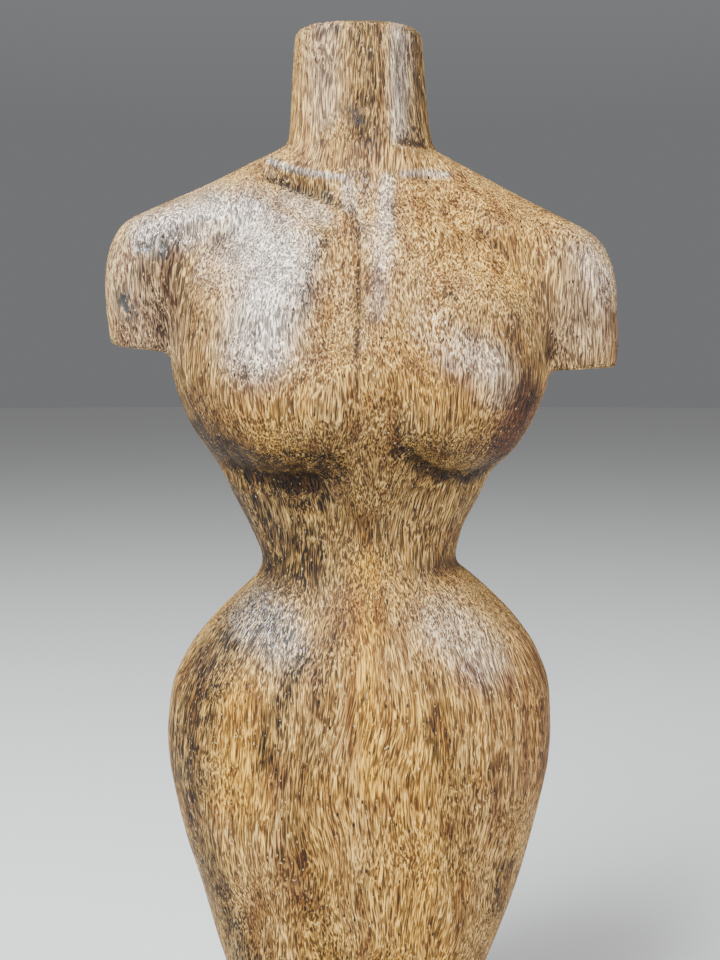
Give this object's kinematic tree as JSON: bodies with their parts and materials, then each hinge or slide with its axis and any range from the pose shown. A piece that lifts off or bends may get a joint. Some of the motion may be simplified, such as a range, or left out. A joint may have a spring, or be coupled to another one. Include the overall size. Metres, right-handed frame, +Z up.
{
  "type": "wooden mannequin torso",
  "caption": "Small hand-carved wooden female display torso with a flat-topped neck, cut-off arms, narrow waist and full tapering hips, standing on a plain wooden plinth with felt pads.",
  "frame": {"origin": "on the floor under the middle of the plinth, at the middle of the whole object's base", "axes": "+Z up through the neck, the figure faces -Y, and +X is to the right as seen from the front"},
  "size_m": [0.1622, 0.096, 0.35],
  "materials": {
    "carved_wood": "hand-carved open-grained hardwood, rasped and waxed to a soft satin, with darker heartwood streaks",
    "plinth_wood": "the same hardwood, sawn, eased at the edges and waxed",
    "dowel_wood": "plain turned hardwood, unfinished",
    "screw_steel": "yellow zinc-plated steel, slightly dulled",
    "felt": "dense dark wool felt"
  },
  "bodies": {
    "root": {"torso": "carved_wood", "plinth": "plinth_wood", "torso_dowel_1": "dowel_wood", "torso_dowel_2": "dowel_wood", "torso_screw_1": "screw_steel", "torso_screw_2": "screw_steel", "felt_pad_1": "felt", "felt_pad_2": "felt", "felt_pad_3": "felt", "felt_pad_4": "felt"}
  },
  "joints": []
}
